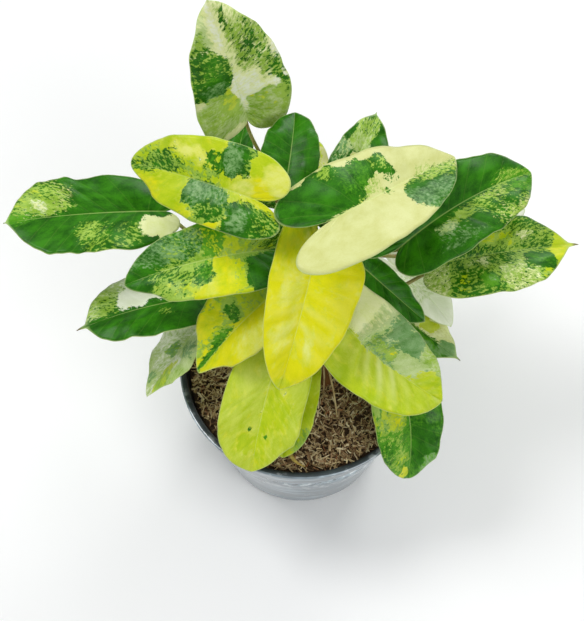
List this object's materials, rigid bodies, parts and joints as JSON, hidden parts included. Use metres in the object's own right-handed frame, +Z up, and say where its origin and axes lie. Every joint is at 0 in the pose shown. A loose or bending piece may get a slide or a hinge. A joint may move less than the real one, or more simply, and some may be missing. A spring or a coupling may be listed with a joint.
{
  "type": "potted variegated philodendron",
  "caption": "Bushy potted philodendron with heart-based leaves mottled in green, lime, yellow and cream, in a round black soft-plastic nursery pot filled with chopped husk.",
  "frame": {"origin": "centre of the pot's flat base, where the object stands", "axes": "+Z up, -Y the plant's front, +X to the right of someone who faces the front"},
  "size_m": [0.385, 0.2544, 0.3142],
  "materials": {
    "black_plastic": "thin moulded black polyethylene with a soft satin sheen",
    "husk": "dry chopped husk, dark brown to tan, matt",
    "stem": "smooth green to red-brown stem and leaf stalk",
    "leaf_green": "dark green leathery leaf with a soft gloss",
    "leaf_mottled": "leaf finely mottled in dark green, lime and cream, soft gloss",
    "leaf_lime": "lime and yellow leaf with green patches, soft gloss",
    "leaf_yellow": "clear yellow leaf, soft gloss",
    "leaf_cream": "cream to pale sage leaf with green patches, soft gloss"
  },
  "bodies": {
    "root": {"pot": "black_plastic", "soil": "husk", "stem_left": "stem", "stem_front": "stem", "stem_rear": "stem", "leaf_rear_tall": "leaf_mottled", "leaf_upper_left": "leaf_lime", "leaf_far_left": "leaf_green", "leaf_mid_left": "leaf_mottled", "leaf_low_left": "leaf_green", "leaf_centre_yellow": "leaf_yellow", "leaf_front_left": "leaf_lime", "leaf_upper_right": "leaf_cream", "leaf_rear_right": "leaf_mottled", "leaf_rear_small": "leaf_green", "leaf_right": "leaf_green", "leaf_far_right": "leaf_mottled", "leaf_under_right": "leaf_cream", "leaf_pale_right": "leaf_cream", "leaf_low_right": "leaf_lime", "leaf_inner_right": "leaf_green", "leaf_front_right": "leaf_lime", "leaf_hanging_right": "leaf_mottled", "leaf_front_lime": "leaf_lime", "leaf_front_under": "leaf_lime", "leaf_sage_left": "leaf_cream", "leaf_inner_rear": "leaf_green", "leaf_inner_centre": "leaf_green", "leaf_back_left": "leaf_mottled", "leaf_back_right": "leaf_green", "leaf_back_centre": "leaf_mottled"}
  },
  "joints": []
}
